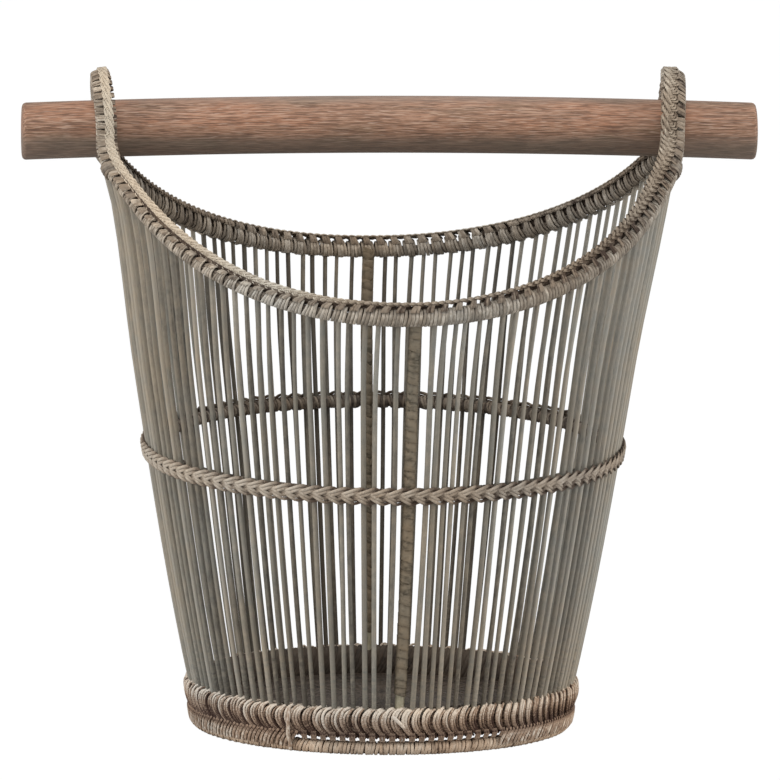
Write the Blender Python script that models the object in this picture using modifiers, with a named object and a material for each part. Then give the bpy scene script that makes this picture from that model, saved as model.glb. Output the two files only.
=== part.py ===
"""Mushroom foraging basket.

A round cane basket that widens upwards. Its wall is a cage of thin upright rods, held by a woven
border at the bottom, a hoop and a plait half way up, and a bound rim at the top. The rim is one
saddle-shaped hoop: low at the front and the back, and drawn up at the sides into two narrow ears.
A wooden carrying pole lies through the ears, on a short bound tie in each of them.

Metres, +Z up. The origin is on the ground at the middle of the foot ring. The front is -Y, and the
pole lies along X.
"""
import math

import bmesh
import bpy
from mathutils import Vector
from mathutils.geometry import interpolate_bezier
from mathutils.kdtree import KDTree

# Clearances
seat_gap = 0.0003            # between two pieces that touch
length_gap = 0.0006          # between the ends of two lengths of the rim's binding
weld_distance = 0.00001

# Foot ring, floor and border
foot_tube_radius = 0.0045
foot_flat_depth = 0.0005     # worn flat underneath
foot_set_in = 0.0036         # from the border's outer face to the foot ring's
floor_thickness = 0.0050
floor_edge_round = 0.0006
border_bottom = 0.0105
border_top = 0.0290
border_outer_radius = 0.1206
border_thickness = 0.0092

# Wall of upright rods
wall_foot_set_in = 0.0016    # from the border's outer face to the rods', where they leave it
wall_mouth_radius = 0.1683   # outer face of the rods at the height of the mouth
wall_mouth_height = 0.3140
wall_belly = 0.0020          # how far the lower wall swells past a straight line
rod_radius = 0.0016
rod_root_depth = 0.0070      # how far a rod's tail runs into the border
rods_each_side = 60
rods_each_section = 6
stake_room_share = 1.3       # room beside a stake, as a share of the rods' pitch

# Stakes, front and back
stake_radius = 0.0029
stake_binding_wall = 0.0009
stake_bare_foot = 0.0085     # left unbound above the border
stake_bare_head = 0.0015
stake_steps = 4

# Hoop and plait half way up
middle_height = 0.1710
middle_drop = 0.0084         # the front of both lies this much lower, the back as much higher
middle_hoop_radius = 0.0040
plait_height = 0.0110
plait_thickness = 0.0027
plait_round_share = 0.2      # of its height, at each outer edge

# Pole
pole_length = 0.4482
pole_radius = 0.0174
pole_axis_height = 0.3675
pole_bow = 0.0026            # how far its middle stands above its line through the ears
pole_chamfer = 0.0024

# Rim with its two ears
rim_core_radius = 0.0032
rim_binding_wall = 0.0009
rim_low_drop = 0.0960        # from the pole's axis to the rim at the front and the back
rim_curve_over_pole = 0.0160 # where the rim's curve would end, if it ran on past the ears
rim_power_share = 2.12       # 2 is an ellipse; more has fuller shoulders
ear_foot_drop = 0.0325       # from the pole's axis to where the rim leaves the wall
ear_waist_set_in = 0.0036    # at the pole's height, from the line of the wall
ear_waist_room = 0.0017      # beside the pole
ear_top_set_in = 0.0006
ear_headroom = 0.0080        # above the pole
ear_foot_handle = 0.0120
ear_waist_handle = 0.0170
rim_plait_width = 0.0072
rim_plait_thickness = 0.0027
rim_plait_lean = math.radians(28)   # towards the inside of the basket
tie_radius = 0.0040

# Fineness of the curves
trim_step = 0.00025          # by which a rod is shortened until it clears the rim
path_step = 0.0010
climb_share = 0.1            # of the rim's turn up to the ear, which gives its direction there
rim_counts = (9, 5, 4)       # points on a quarter of the rim: on the wall, on the leg, on the arch
fine_rim_counts = (160, 60, 40)

# Sizes worked out from those above
rim_radius = rim_core_radius + seat_gap + rim_binding_wall
stake_outer_radius = stake_radius + seat_gap + stake_binding_wall
foot_centre_height = foot_tube_radius - foot_flat_depth
foot_ring_radius = border_outer_radius - foot_set_in - foot_tube_radius
floor_bottom = foot_centre_height + foot_tube_radius + seat_gap
floor_top = floor_bottom + floor_thickness
border_centre_radius = border_outer_radius - border_thickness / 2
border_centre_height = (border_bottom + border_top) / 2
floor_radius = border_outer_radius - border_thickness - seat_gap
wall_foot_radius = border_outer_radius - wall_foot_set_in
tie_height = pole_axis_height - pole_radius - seat_gap - tie_radius
ear_foot_height = pole_axis_height - ear_foot_drop
ear_top_height = pole_axis_height + pole_radius + ear_headroom + rim_radius
ear_waist_half_gap = pole_radius + ear_waist_room + rim_radius
rim_low_height = pole_axis_height - rim_low_drop
rim_rise = rim_low_drop + rim_curve_over_pole
rod_pitch = math.pi / (rods_each_side - 1 + 2 * stake_room_share)

# Cross-section of the border, from its inner lower corner, as shares of its half thickness and
# half height
border_section_shares = (
    (-1.0, -0.75), (-0.6, -1.0), (0.5, -1.0), (1.0, -0.45), (0.95, 0.6),
    (0.4, 1.0), (-0.6, 1.0), (-1.0, 0.75),
)

# Places along the pole, as shares of its half length
pole_place_shares = (-0.78, -0.56, -0.34, -0.12, 0.12, 0.34, 0.56, 0.78)

weathered_cane = ("weathered_cane", (0.33, 0.28, 0.22), 0.75)
warm_cane = ("warm_cane", (0.40, 0.31, 0.24), 0.75)
pale_cane = ("pale_cane", (0.47, 0.39, 0.30), 0.72)
dark_cane = ("dark_cane", (0.20, 0.16, 0.12), 0.80)
brown_wood = ("brown_wood", (0.36, 0.20, 0.14), 0.60)


def wall_radius(height):
    """Outer face of the rods at a height: a straight flare with a low swell."""
    rise = (height - border_top) / (wall_mouth_height - border_top)
    swell = wall_belly * 6.75 * rise * (1 - rise) ** 2      # 6.75 makes the swell's peak 1
    return wall_foot_radius + (wall_mouth_radius - wall_foot_radius) * rise + swell


ear_waist_reach = wall_radius(pole_axis_height) - ear_waist_set_in
ear_top_reach = wall_radius(pole_axis_height) - ear_top_set_in
rim_half_width = ear_top_reach      # of the rim's curve, seen from the front


def around(radius, angle, height):
    """A point of the round basket; angle 0 is the front and turns towards +X."""
    return Vector((radius * math.sin(angle), -radius * math.cos(angle), height))


def middle_level(angle):
    """Height of the hoop and the plait half way up."""
    return middle_height - middle_drop * math.cos(angle)


# Collections, materials and the ways of making a piece

def clear_scene():
    for thing in list(bpy.data.objects):
        bpy.data.objects.remove(thing, do_unlink=True)


def new_collection(name):
    collection = bpy.data.collections.new(name)
    bpy.context.scene.collection.children.link(collection)
    return collection


def finish(thing, look):
    """Gives a piece its material, which pieces of the same stuff share."""
    name, colour, roughness = look
    material = bpy.data.materials.get(name)
    if material is None:
        material = bpy.data.materials.new(name)
        material.use_nodes = True
        shader = material.node_tree.nodes["Principled BSDF"]
        shader.inputs["Base Color"].default_value = (*colour, 1.0)
        shader.inputs["Roughness"].default_value = roughness
        shader.inputs["Metallic"].default_value = 0.0
        material.diffuse_color = (*colour, 1.0)
    thing.data.materials.append(material)
    return thing


def tube(name, runs, radius, sides, closed=False, caps=True, widths=None):
    """A round tube along each run of points, as a curve object with an even number of sides."""
    curve = bpy.data.curves.new(name, "CURVE")
    curve.dimensions = "3D"
    curve.resolution_u = 1
    curve.render_resolution_u = 0
    curve.bevel_depth = radius
    curve.bevel_resolution = sides // 2 - 2
    curve.use_fill_caps = caps
    for points in runs:
        spline = curve.splines.new("POLY")
        spline.points.add(len(points) - 1)
        for number, (knot, place) in enumerate(zip(spline.points, points)):
            knot.co = (*place, 1.0)
            knot.radius = widths[number] if widths else 1.0
        spline.use_cyclic_u = closed
    thing = bpy.data.objects.new(name, curve)
    basket.objects.link(thing)
    return thing


def as_mesh(thing):
    """The same piece as a welded mesh, which a Boolean can join."""
    depsgraph = bpy.context.evaluated_depsgraph_get()
    mesh = bpy.data.meshes.new_from_object(thing.evaluated_get(depsgraph))
    shape = bmesh.new()
    shape.from_mesh(mesh)
    bmesh.ops.remove_doubles(shape, verts=shape.verts, dist=weld_distance)
    bmesh.ops.recalc_face_normals(shape, faces=shape.faces)
    shape.to_mesh(mesh)
    shape.free()
    solid = bpy.data.objects.new(thing.name, mesh)
    solid.matrix_world = thing.matrix_world
    name = thing.name
    bpy.data.objects.remove(thing, do_unlink=True)
    solid.name = name
    return solid


def turned(name, outline, start, sweep, steps):
    """A solid turned about the basket's axis from an outline of (radius, height) corners."""
    shape = bmesh.new()
    corners = [shape.verts.new(around(radius, start, height)) for radius, height in outline]
    whole = sweep == math.tau
    face = shape.faces.new(corners)
    kept = [face] if not whole else face.edges[:]
    swept = bmesh.ops.spin(shape, geom=kept, cent=(0, 0, 0), axis=(0, 0, 1), angle=sweep,
                           steps=steps, use_merge=whole, use_duplicate=False)
    if whole:
        shape.faces.remove(face)
    bmesh.ops.remove_doubles(shape, verts=shape.verts, dist=weld_distance)
    bmesh.ops.recalc_face_normals(shape, faces=shape.faces)
    mesh = bpy.data.meshes.new(name)
    shape.to_mesh(mesh)
    shape.free()
    thing = bpy.data.objects.new(name, mesh)
    basket.objects.link(thing)
    return thing


def settle_on_wall(thing):
    """Tips a level ring at the middle height to its real slope and lays it on the wall."""
    for corner in thing.data.vertices:
        angle = math.atan2(corner.co.x, -corner.co.y)
        shift = middle_level(angle) - middle_height
        radius = math.hypot(corner.co.x, corner.co.y)
        radius += wall_radius(corner.co.z + shift) - wall_radius(middle_height)
        corner.co = around(radius, angle, corner.co.z + shift)


def smooth(thing, angle=math.radians(40)):
    thing.data.shade_smooth()
    thing.data.set_sharp_from_angle(angle=angle)
    return thing


# The rim's line

def rim_on_wall(turn):
    """The rim's tube on the wall, as turn runs from 0 at the front to a right angle at the side."""
    across = rim_half_width * math.sin(turn) ** (2 / rim_power_share)
    height = rim_low_height + rim_rise * (1 - math.cos(turn) ** (2 / rim_power_share))
    radius = wall_radius(height) - rod_radius
    return Vector((across, -math.sqrt(max(radius ** 2 - across ** 2, 0)), height))


def ear_foot_turn():
    """The turn at which the rim has climbed to the ear's foot."""
    left = 1 - (ear_foot_height - rim_low_height) / rim_rise
    return math.acos(left ** (rim_power_share / 2))


def rim_quarter(counts):
    """From the front of the rim to the top of the right ear."""
    wall_points, leg_points, arch_points = counts
    last = ear_foot_turn()
    wall = [rim_on_wall(last * number / wall_points) for number in range(wall_points)]
    foot = rim_on_wall(last)
    climb = (foot - rim_on_wall(last * (1 - climb_share))).normalized()
    waist = Vector((ear_waist_reach, -ear_waist_half_gap, pole_axis_height))
    leg = interpolate_bezier(foot, foot + climb * ear_foot_handle,
                             waist - Vector((0, 0, ear_waist_handle)), waist, leg_points)
    arch = []
    for number in range(1, arch_points + 1):
        turn = math.pi / 2 * number / arch_points
        reach = ear_waist_reach + (ear_top_reach - ear_waist_reach) * math.sin(turn)
        height = pole_axis_height + (ear_top_height - pole_axis_height) * math.sin(turn)
        arch.append(Vector((reach, -ear_waist_half_gap * math.cos(turn), height)))
    return wall + leg + arch


def rim_loop(counts):
    """The whole rim, from the front round by the right ear, the back and the left ear."""
    front_right = rim_quarter(counts)
    back_right = [Vector((p.x, -p.y, p.z)) for p in reversed(front_right[:-1])]
    right_half = front_right + back_right
    left_half = [Vector((-p.x, p.y, p.z)) for p in reversed(right_half[1:-1])]
    return right_half + left_half


def rim_plait_frames(loop):
    """For each point of the rim, where its open side faces, leaning inwards, and the way across."""
    for number, place in enumerate(loop):
        along = (loop[(number + 1) % len(loop)] - loop[number - 1]).normalized()
        outward = Vector((place.x, place.y, 0)).normalized()
        outward = (outward - along * outward.dot(along)).normalized()
        upward = outward.cross(along)
        lift = upward * math.cos(rim_plait_lean) - outward * math.sin(rim_plait_lean)
        yield place, lift, lift.cross(along)


# Pieces

def make_pole():
    """A straight-grained branch, planed round, with a slight natural bow."""
    half = pole_length / 2
    places = [-half, -half + pole_chamfer]
    places += [half * share for share in pole_place_shares]
    places += [half - pole_chamfer, half]
    points = [Vector((x, 0, pole_bow * (1 - (x / ear_waist_reach) ** 2))) for x in places]
    narrow = 1 - pole_chamfer / pole_radius
    widths = [narrow] + [1.0] * (len(places) - 2) + [narrow]
    pole = tube("pole", [points], pole_radius, 20, widths=widths)
    pole.location = (0, 0, pole_axis_height)
    finish(pole, brown_wood)


def make_rim_plait(loop):
    """A flat strip with rounded edges, whose section is carried round the rim's open side."""
    half, flat = rim_plait_width / 2, rim_plait_thickness / 2
    section = ((-half, 0), (flat - half, flat), (half - flat, flat),
               (half, 0), (half - flat, -flat), (flat - half, -flat))
    distance = rim_radius + seat_gap + flat
    shape = bmesh.new()
    rings = []
    for place, lift, across in rim_plait_frames(loop):
        corners = [shape.verts.new(place + lift * (distance + up) + across * out)
                   for out, up in section]
        rings.append([shape.edges.new(pair) for pair in zip(corners, corners[1:] + corners[:1])])
    for ring, following in zip(rings, rings[1:] + rings[:1]):
        bmesh.ops.bridge_loops(shape, edges=ring + following)
    bmesh.ops.recalc_face_normals(shape, faces=shape.faces)
    mesh = bpy.data.meshes.new("rim_plait")
    shape.to_mesh(mesh)
    shape.free()
    plait = bpy.data.objects.new("rim_plait", mesh)
    basket.objects.link(plait)
    return plait


def make_rim():
    """Core hoop, its cane binding in four lengths, and the plait along its open side."""
    loop = rim_loop(rim_counts)
    finish(tube("rim_hoop", [loop], rim_core_radius, 6, closed=True), weathered_cane)
    finish(smooth(make_rim_plait(loop)), pale_cane)
    quarter = len(loop) // 4
    names = ("rim_binding_front", "rim_binding_right_ear", "rim_binding_back",
             "rim_binding_left_ear")
    wall_points, leg_points, arch_points = rim_counts
    reach = leg_points + arch_points - 1        # the ears' lengths end at the ears' feet
    starts = (-(quarter - reach), quarter - reach, quarter + reach, 3 * quarter - reach)
    ends = (quarter - reach, quarter + reach, 3 * quarter - reach, 3 * quarter + reach)
    for name, start, end in zip(names, starts, ends):
        run = [loop[number % len(loop)].copy() for number in range(start, end + 1)]
        run[0] += (run[1] - run[0]).normalized() * length_gap / 2
        run[-1] += (run[-2] - run[-1]).normalized() * length_gap / 2
        sleeve = tube(name, [run], rim_radius, 8, caps=False)
        wall = sleeve.modifiers.new("wall", "SOLIDIFY")
        wall.thickness = rim_binding_wall
        wall.offset = -1
        finish(sleeve, weathered_cane)


def leg_at_tie():
    """Where the front leg of the right ear passes the height of the tie."""
    leg = [place for place in rim_quarter(fine_rim_counts) if place.z >= tie_height]
    return leg[0]


def clearance(rim_line, places):
    """How far the nearest of some places is from touching the rim."""
    nearest = min(rim_line.find(place)[2] for place in places)
    return nearest - rim_radius - seat_gap


def make_ear_ties(rim_line):
    """A short bound bar across the foot of each ear, which the pole lies on."""
    leg = leg_at_tie()
    half = -leg.y
    while clearance(rim_line, [Vector((leg.x + across, half, tie_height + up))
                               for across, up in ((tie_radius, 0), (-tie_radius, 0),
                                                  (0, tie_radius), (0, -tie_radius))]) < 0:
        half -= trim_step
    for name, side in (("ear_tie_right", 1), ("ear_tie_left", -1)):
        ends = [Vector((side * leg.x, -half, tie_height)), Vector((side * leg.x, half, tie_height))]
        finish(tube(name, [ends], tie_radius, 10), dark_cane)


def stake_run(turn, low, high):
    """The line of a stake between two heights; its binding lies flush with the rods."""
    heights = [low + (high - low) * step / stake_steps for step in range(stake_steps + 1)]
    return [around(wall_radius(height) - stake_outer_radius, turn, height) for height in heights]


def make_stakes():
    """A thick cane stake at the front and at the back, bound with cane for most of its length."""
    flare = (wall_mouth_radius - wall_foot_radius) / (wall_mouth_height - border_top)
    tilt_room = stake_outer_radius * flare      # the ends are square to a stake that leans
    foot = border_top + seat_gap + tilt_room
    head = rim_low_height - rim_radius - seat_gap - tilt_room
    for name, turn in (("front", 0), ("back", math.pi)):
        finish(tube("stake_" + name, [stake_run(turn, foot, head)], stake_radius, 8),
               weathered_cane)
        bound = stake_run(turn, foot + stake_bare_foot, head - stake_bare_head)
        sleeve = tube("stake_binding_" + name, [bound], stake_outer_radius, 8, caps=False)
        wall = sleeve.modifiers.new("wall", "SOLIDIFY")
        wall.thickness = stake_binding_wall
        wall.offset = -1
        finish(sleeve, warm_cane)


def make_middle():
    """Inside the rods a round hoop in two halves between the stakes, outside them a flat plait."""
    inner = wall_radius(middle_height) - 2 * rod_radius - seat_gap - middle_hoop_radius
    outline = [(inner + middle_hoop_radius * math.cos(math.tau * side / 6),
                middle_height + middle_hoop_radius * math.sin(math.tau * side / 6))
               for side in range(6)]
    clear = (stake_outer_radius + seat_gap) / (inner - middle_hoop_radius)
    for name, start in (("middle_hoop_right", clear), ("middle_hoop_left", math.pi + clear)):
        half = turned(name, outline, start, math.pi - 2 * clear, 24)
        settle_on_wall(half)
        finish(smooth(half), weathered_cane)
    near = wall_radius(middle_height) + seat_gap
    far = near + plait_thickness
    low = middle_height - plait_height / 2
    high = middle_height + plait_height / 2
    ease = plait_height * plait_round_share
    outline = [(near, low), (far - ease / 2, low), (far, low + ease), (far, high - ease),
               (far - ease / 2, high), (near, high)]
    band = turned("middle_plait", outline, 0, math.tau, 48)
    settle_on_wall(band)
    finish(smooth(band), weathered_cane)


def make_foot_ring():
    """A bound cane hoop that the basket stands on."""
    sides = 8
    corner_radius = foot_tube_radius / math.cos(math.pi / sides)    # the flats touch the real tube
    outline = []
    for side in range(sides):
        turn = math.tau * (side + 0.5) / sides - math.pi / 2
        height = foot_centre_height + corner_radius * math.sin(turn)
        outline.append((foot_ring_radius + corner_radius * math.cos(turn), max(height, 0)))
    finish(smooth(turned("foot_ring", outline, 0, math.tau, 48)), warm_cane)


def make_floor():
    """A close-woven disc with a rounded edge."""
    rim = floor_radius - floor_edge_round
    outline = [(0, floor_bottom), (rim, floor_bottom), (floor_radius, floor_bottom + floor_edge_round),
               (floor_radius, floor_top - floor_edge_round), (rim, floor_top), (0, floor_top)]
    profile = bmesh.new()
    corners = [profile.verts.new((radius, 0, height)) for radius, height in reversed(outline)]
    for one, two in zip(corners, corners[1:]):
        profile.edges.new((one, two))
    mesh = bpy.data.meshes.new("floor")
    profile.to_mesh(mesh)
    profile.free()
    disc = bpy.data.objects.new("floor", mesh)
    basket.objects.link(disc)
    screw = disc.modifiers.new("turn", "SCREW")
    screw.steps = 48
    screw.render_steps = 48
    screw.use_merge_vertices = True
    screw.merge_threshold = weld_distance
    finish(disc, dark_cane)


def rod_centre(turn, height):
    return around(wall_radius(height) - rod_radius, turn, height)


def rod_run(turn, rim_line):
    """The points of one rod, from its tail in the border up to just below the rim."""
    sideways = around(rod_radius, turn + math.pi / 2, 0)
    outward = around(rod_radius, turn, 0)
    height = rim_low_height - rim_radius - 2 * rod_radius
    while height < pole_axis_height:
        middle = rod_centre(turn, height)
        edge = (middle + sideways, middle - sideways, middle + outward, middle - outward, middle)
        if clearance(rim_line, edge) < trim_step:
            break
        height += trim_step
    swell_height = border_top + (wall_mouth_height - border_top) / 3
    levels = (border_top - rod_root_depth, swell_height, middle_level(turn), height)
    return [rod_centre(turn, level) for level in levels]


def tie_places():
    """Closely spaced points along both ties."""
    leg = leg_at_tie()
    count = round(-2 * leg.y / path_step)
    return [Vector((side * leg.x, leg.y * (1 - 2 * number / count), tie_height))
            for side in (-1, 1) for number in range(count + 1)]


def searchable(places):
    """A line of points in a form that other pieces are trimmed against."""
    tree = KDTree(len(places))
    for number, place in enumerate(places):
        tree.insert(place, number)
    tree.balance()
    return tree


def make_wall(rim_line):
    """The rods, in sections of six with the stretch of border that their tails make."""
    outline = [(border_centre_radius + border_thickness / 2 * out,
                border_centre_height + (border_top - border_bottom) / 2 * up)
               for out, up in border_section_shares]
    sections = rods_each_side // rods_each_section
    cut = seat_gap / 2 / (border_outer_radius - border_thickness)
    for side, side_start in (("right", 0), ("left", math.pi)):
        for section in range(sections):
            name = "wall_" + side + "_" + str(section + 1).zfill(2)
            first = stake_room_share + section * rods_each_section
            start = 0 if section == 0 else (first - 0.5) * rod_pitch
            last = first + rods_each_section
            end = math.pi if section == sections - 1 else (last - 0.5) * rod_pitch
            border = turned(name, outline, side_start + start + cut, end - start - 2 * cut, 3)
            turns = [side_start + (first + rod) * rod_pitch for rod in range(rods_each_section)]
            rods = as_mesh(tube(name + "_rods", [rod_run(turn, rim_line) for turn in turns],
                                rod_radius, 6))
            cutters.objects.link(rods)
            rods.hide_render = True
            rods.display_type = "WIRE"
            join = border.modifiers.new("rods", "BOOLEAN")
            join.operation = "UNION"
            join.object = rods
            finish(smooth(border), weathered_cane)


clear_scene()
basket = new_collection("mushroom_foraging_basket")
cutters = new_collection("joined_rods")
make_foot_ring()
make_floor()
rim_places = rim_loop(fine_rim_counts)
make_wall(searchable(rim_places + tie_places()))
make_stakes()
make_middle()
make_rim()
make_ear_ties(searchable(rim_places))
make_pole()
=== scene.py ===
"""Looks for the mushroom foraging basket.

A round cane basket with a cage of thin upright rods and a wooden carrying pole through the two ears
of its rim. The sections follow the making: what it stands on, the foot, the floor, the rods with
their braided border, the stakes, the hoops half way up, the rim, its plait, the ties and the pole.
"""
import bisect
from collections import namedtuple
import math
import random

import bmesh
import bpy
from mathutils import Matrix, Vector
from mathutils.geometry import interpolate_bezier
from mathutils.kdtree import KDTree


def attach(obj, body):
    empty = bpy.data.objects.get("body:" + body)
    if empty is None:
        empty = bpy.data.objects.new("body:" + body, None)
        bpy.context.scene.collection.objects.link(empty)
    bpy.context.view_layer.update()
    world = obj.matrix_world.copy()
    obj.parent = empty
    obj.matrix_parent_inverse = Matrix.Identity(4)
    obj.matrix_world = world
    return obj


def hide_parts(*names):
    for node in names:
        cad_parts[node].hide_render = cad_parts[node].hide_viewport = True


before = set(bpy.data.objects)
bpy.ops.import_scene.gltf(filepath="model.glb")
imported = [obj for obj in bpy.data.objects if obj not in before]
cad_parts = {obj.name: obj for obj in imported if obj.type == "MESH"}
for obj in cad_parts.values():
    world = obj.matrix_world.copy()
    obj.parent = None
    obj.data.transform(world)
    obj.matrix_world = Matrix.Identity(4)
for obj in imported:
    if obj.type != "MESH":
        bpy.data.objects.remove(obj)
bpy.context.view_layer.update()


# View and light --------------------------------------------------------------------------------
# A white table and plain soft light, most of it from above and from both sides. The camera stands
# well back and a little above the basket, whose left end is turned towards it by a few degrees.

view_distance = 6.9
view_down = math.radians(8.19)
view_aside = math.radians(4.27)
view_roll = math.radians(0.51)
metres_each_pixel = 0.0006115
photo_pixels = 780
view_target = Vector((0.0038 * math.cos(view_aside), -0.0038 * math.sin(view_aside), 0.2065))

scene = bpy.context.scene
scene.view_settings.view_transform = "Standard"

toward_camera = Vector((-math.cos(view_down) * math.sin(view_aside),
                        -math.cos(view_down) * math.cos(view_aside), math.sin(view_down)))
camera = bpy.data.objects.new("camera", bpy.data.cameras.new("camera"))
scene.collection.objects.link(camera)
camera.data.sensor_width = 36.0
camera.data.lens = camera.data.sensor_width * view_distance / metres_each_pixel / photo_pixels
camera.data.clip_end = 40.0
camera.location = view_target + toward_camera * view_distance
turn = toward_camera.to_track_quat("Z", "Y")
camera.rotation_euler = (turn.to_matrix() @ Matrix.Rotation(view_roll, 3, "Z")).to_euler()
scene.camera = camera


def new_material(name):
    """A new material, its node tree and its main shader."""
    material = bpy.data.materials.new(name)
    material.use_nodes = True
    tree = material.node_tree
    return material, tree, tree.nodes["Principled BSDF"]


def fill(tree, node, inputs):
    """Gives a node's inputs their values, or links them to the outputs of other nodes."""
    for socket, given in inputs.items():
        if isinstance(given, bpy.types.NodeSocket):
            tree.links.new(given, node.inputs[socket])
        else:
            node.inputs[socket].default_value = given


def add(tree, kind, inputs, **settings):
    """A new node with its settings and its inputs, which go by their names or numbers."""
    node = tree.nodes.new("ShaderNode" + kind)
    for setting, value in settings.items():
        setattr(node, setting, value)
    fill(tree, node, inputs)
    return node


def paper(name, colour, lit_share):
    """White paper that keeps a faint shadow and shows white to the camera."""
    material, tree, shader = new_material(name)
    fill(tree, shader, {"Base Color": (*colour, 1.0), "Roughness": 0.9})
    glow = add(tree, "Emission", {"Color": (1.0, 1.0, 1.0, 1.0), "Strength": 1.04})
    path = add(tree, "LightPath", {})
    share = add(tree, "Math", {0: path.outputs["Is Camera Ray"], 1: 1.0 - lit_share},
                operation="MULTIPLY")
    mix = add(tree, "MixShader", {"Fac": share.outputs[0], 1: shader.outputs[0],
                                  2: glow.outputs[0]})
    fill(tree, tree.nodes["Material Output"], {"Surface": mix.outputs[0]})
    return material


table_size = 14.0
table_shape = bmesh.new()
bmesh.ops.create_grid(table_shape, x_segments=1, y_segments=1, size=table_size / 2)
table_mesh = bpy.data.meshes.new("table")
table_shape.to_mesh(table_mesh)
table_shape.free()
table = bpy.data.objects.new("table", table_mesh)
scene.collection.objects.link(table)
table_mesh.materials.append(paper("table_paper", (0.50, 0.50, 0.50), 0.05))

world = bpy.data.worlds.new("studio")
scene.world = world
world.use_nodes = True
sky = world.node_tree.nodes["Background"]
fill(world.node_tree, sky, {"Color": (0.97, 0.985, 1.0, 1.0), "Strength": 0.62})
white = add(world.node_tree, "Background", {"Color": (1.0, 1.0, 1.0, 1.0), "Strength": 1.02})
seen = add(world.node_tree, "LightPath", {})
either = add(world.node_tree, "MixShader", {"Fac": seen.outputs["Is Camera Ray"],
                                            1: sky.outputs[0], 2: white.outputs[0]})
fill(world.node_tree, world.node_tree.nodes["World Output"], {"Surface": either.outputs[0]})


lamp_aim = Vector((0.0, 0.0, 0.2))


def soft_lamp(name, place, size, watts, colour):
    """A round lamp that is turned to the middle of the basket."""
    lamp = bpy.data.objects.new(name, bpy.data.lights.new(name, "AREA"))
    lamp.data.shape = "DISK"
    lamp.data.size = size
    lamp.data.energy = watts
    lamp.data.color = colour
    lamp.location = place
    lamp.rotation_euler = (Vector(place) - lamp_aim).to_track_quat("Z", "Y").to_euler()
    scene.collection.objects.link(lamp)


soft_lamp("lamp_above", (-0.3, -1.1, 2.7), 1.4, 30.0, (1.0, 0.98, 0.95))
soft_lamp("lamp_left", (-3.1, -1.1, 1.2), 1.8, 58.0, (1.0, 0.99, 0.97))
soft_lamp("lamp_right", (3.1, -0.9, 1.1), 1.8, 56.0, (1.0, 0.99, 0.97))


# Foot ring ---------------------------------------------------------------------------------------
# The hoop that the basket stands on: a thick cane bent to a ring and wound tightly with thin flat
# cane, whose laps stand upright side by side. It stands level, so its underside is a flat face.

foot_ring_radius = 0.1125
foot_centre_height = 0.0040
foot_core_radius = 0.0034
foot_lap_thickness = 0.0010
foot_laps = 338


def around(radius, angle, height):
    """A point of the round basket; angle 0 is the front and turns towards +X."""
    return Vector((radius * math.sin(angle), -radius * math.cos(angle), height))


def straight_strand(rings, sides, square=1.0, capped=True):
    """A straight strand with one unit between its rings, to be bent into its place."""
    shape = bmesh.new()
    bmesh.ops.create_cone(shape, cap_ends=capped, segments=sides, radius1=1.0, radius2=1.0,
                          depth=rings)
    long_edges = [edge for edge in shape.edges
                  if abs(edge.verts[0].co.z - edge.verts[1].co.z) > 0.5]
    bmesh.ops.subdivide_edges(shape, edges=long_edges, cuts=rings - 1, use_grid_fill=True)
    for vert in shape.verts:
        vert.co.x = math.copysign(abs(vert.co.x) ** square, vert.co.x)
        vert.co.y = math.copysign(abs(vert.co.y) ** square, vert.co.y)
        vert.co.z += rings / 2
    mesh = bpy.data.meshes.new("straight_strand")
    shape.to_mesh(mesh)
    shape.free()
    return mesh


def new_shape():
    """An empty shape whose points know their place along and across their strand, and its shade."""
    shape = bmesh.new()
    shape.verts.layers.float_vector.new("grain")
    shape.verts.layers.float.new("shade")
    return shape


def bend_strand(shape, straight, stations, width, thickness, shade, closed=False):
    """Adds a strand along its stations, each a place and the way that its top faces.

    Width, thickness and shade are one number, or a list of one for each station. A closed strand
    comes back to its first station, where make_piece joins its two uncapped ends.
    """
    grain = shape.verts.layers.float_vector["grain"]
    tone = shape.verts.layers.float["shade"]
    last = len(stations) - 1
    widths, thicknesses, shades = [value if isinstance(value, list) else [value] * (last + 1)
                                   for value in (width, thickness, shade)]
    travelled = 0.0
    rings = []
    for number, (place, lift) in enumerate(stations):
        before, after = stations[max(number - 1, 0)][0], stations[min(number + 1, last)][0]
        if closed and number in (0, last):
            before, after = stations[last - 1][0], stations[1][0]
        along = (after - before).normalized()
        side = lift.cross(along).normalized()
        if number:
            travelled += (place - stations[number - 1][0]).length
        rings.append((place, side * widths[number] / 2, along.cross(side) * thicknesses[number] / 2,
                      travelled))
    first_vert = len(shape.verts)
    shape.from_mesh(straight)
    shape.verts.ensure_lookup_table()
    for vert in shape.verts[first_vert:]:
        number = round(vert.co.z)
        place, side, top, travelled = rings[number]
        vert[grain] = (travelled, vert.co.x * widths[number] / 2,
                       vert.co.y * thicknesses[number] / 2)
        vert[tone] = shades[number]
        vert.co = place + side * vert.co.x + top * vert.co.y


def limited(value):
    """A value kept between 0 and 1."""
    return min(max(value, 0.0), 1.0)


def top_lean(place):
    """How far the used basket leans towards +X; its ears lean back again, the left one more."""
    climb, fall = limited((place.z - 0.22) / 0.10), limited((place.z - 0.35) / 0.045)
    lean = 0.0025 * climb * climb * (3 - 2 * climb) - 0.0015 * fall * fall * (3 - 2 * fall)
    return lean - (0.0026 * math.exp(-((place.z - 0.354) / 0.019) ** 2) if place.x < 0 else 0.0)


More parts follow.
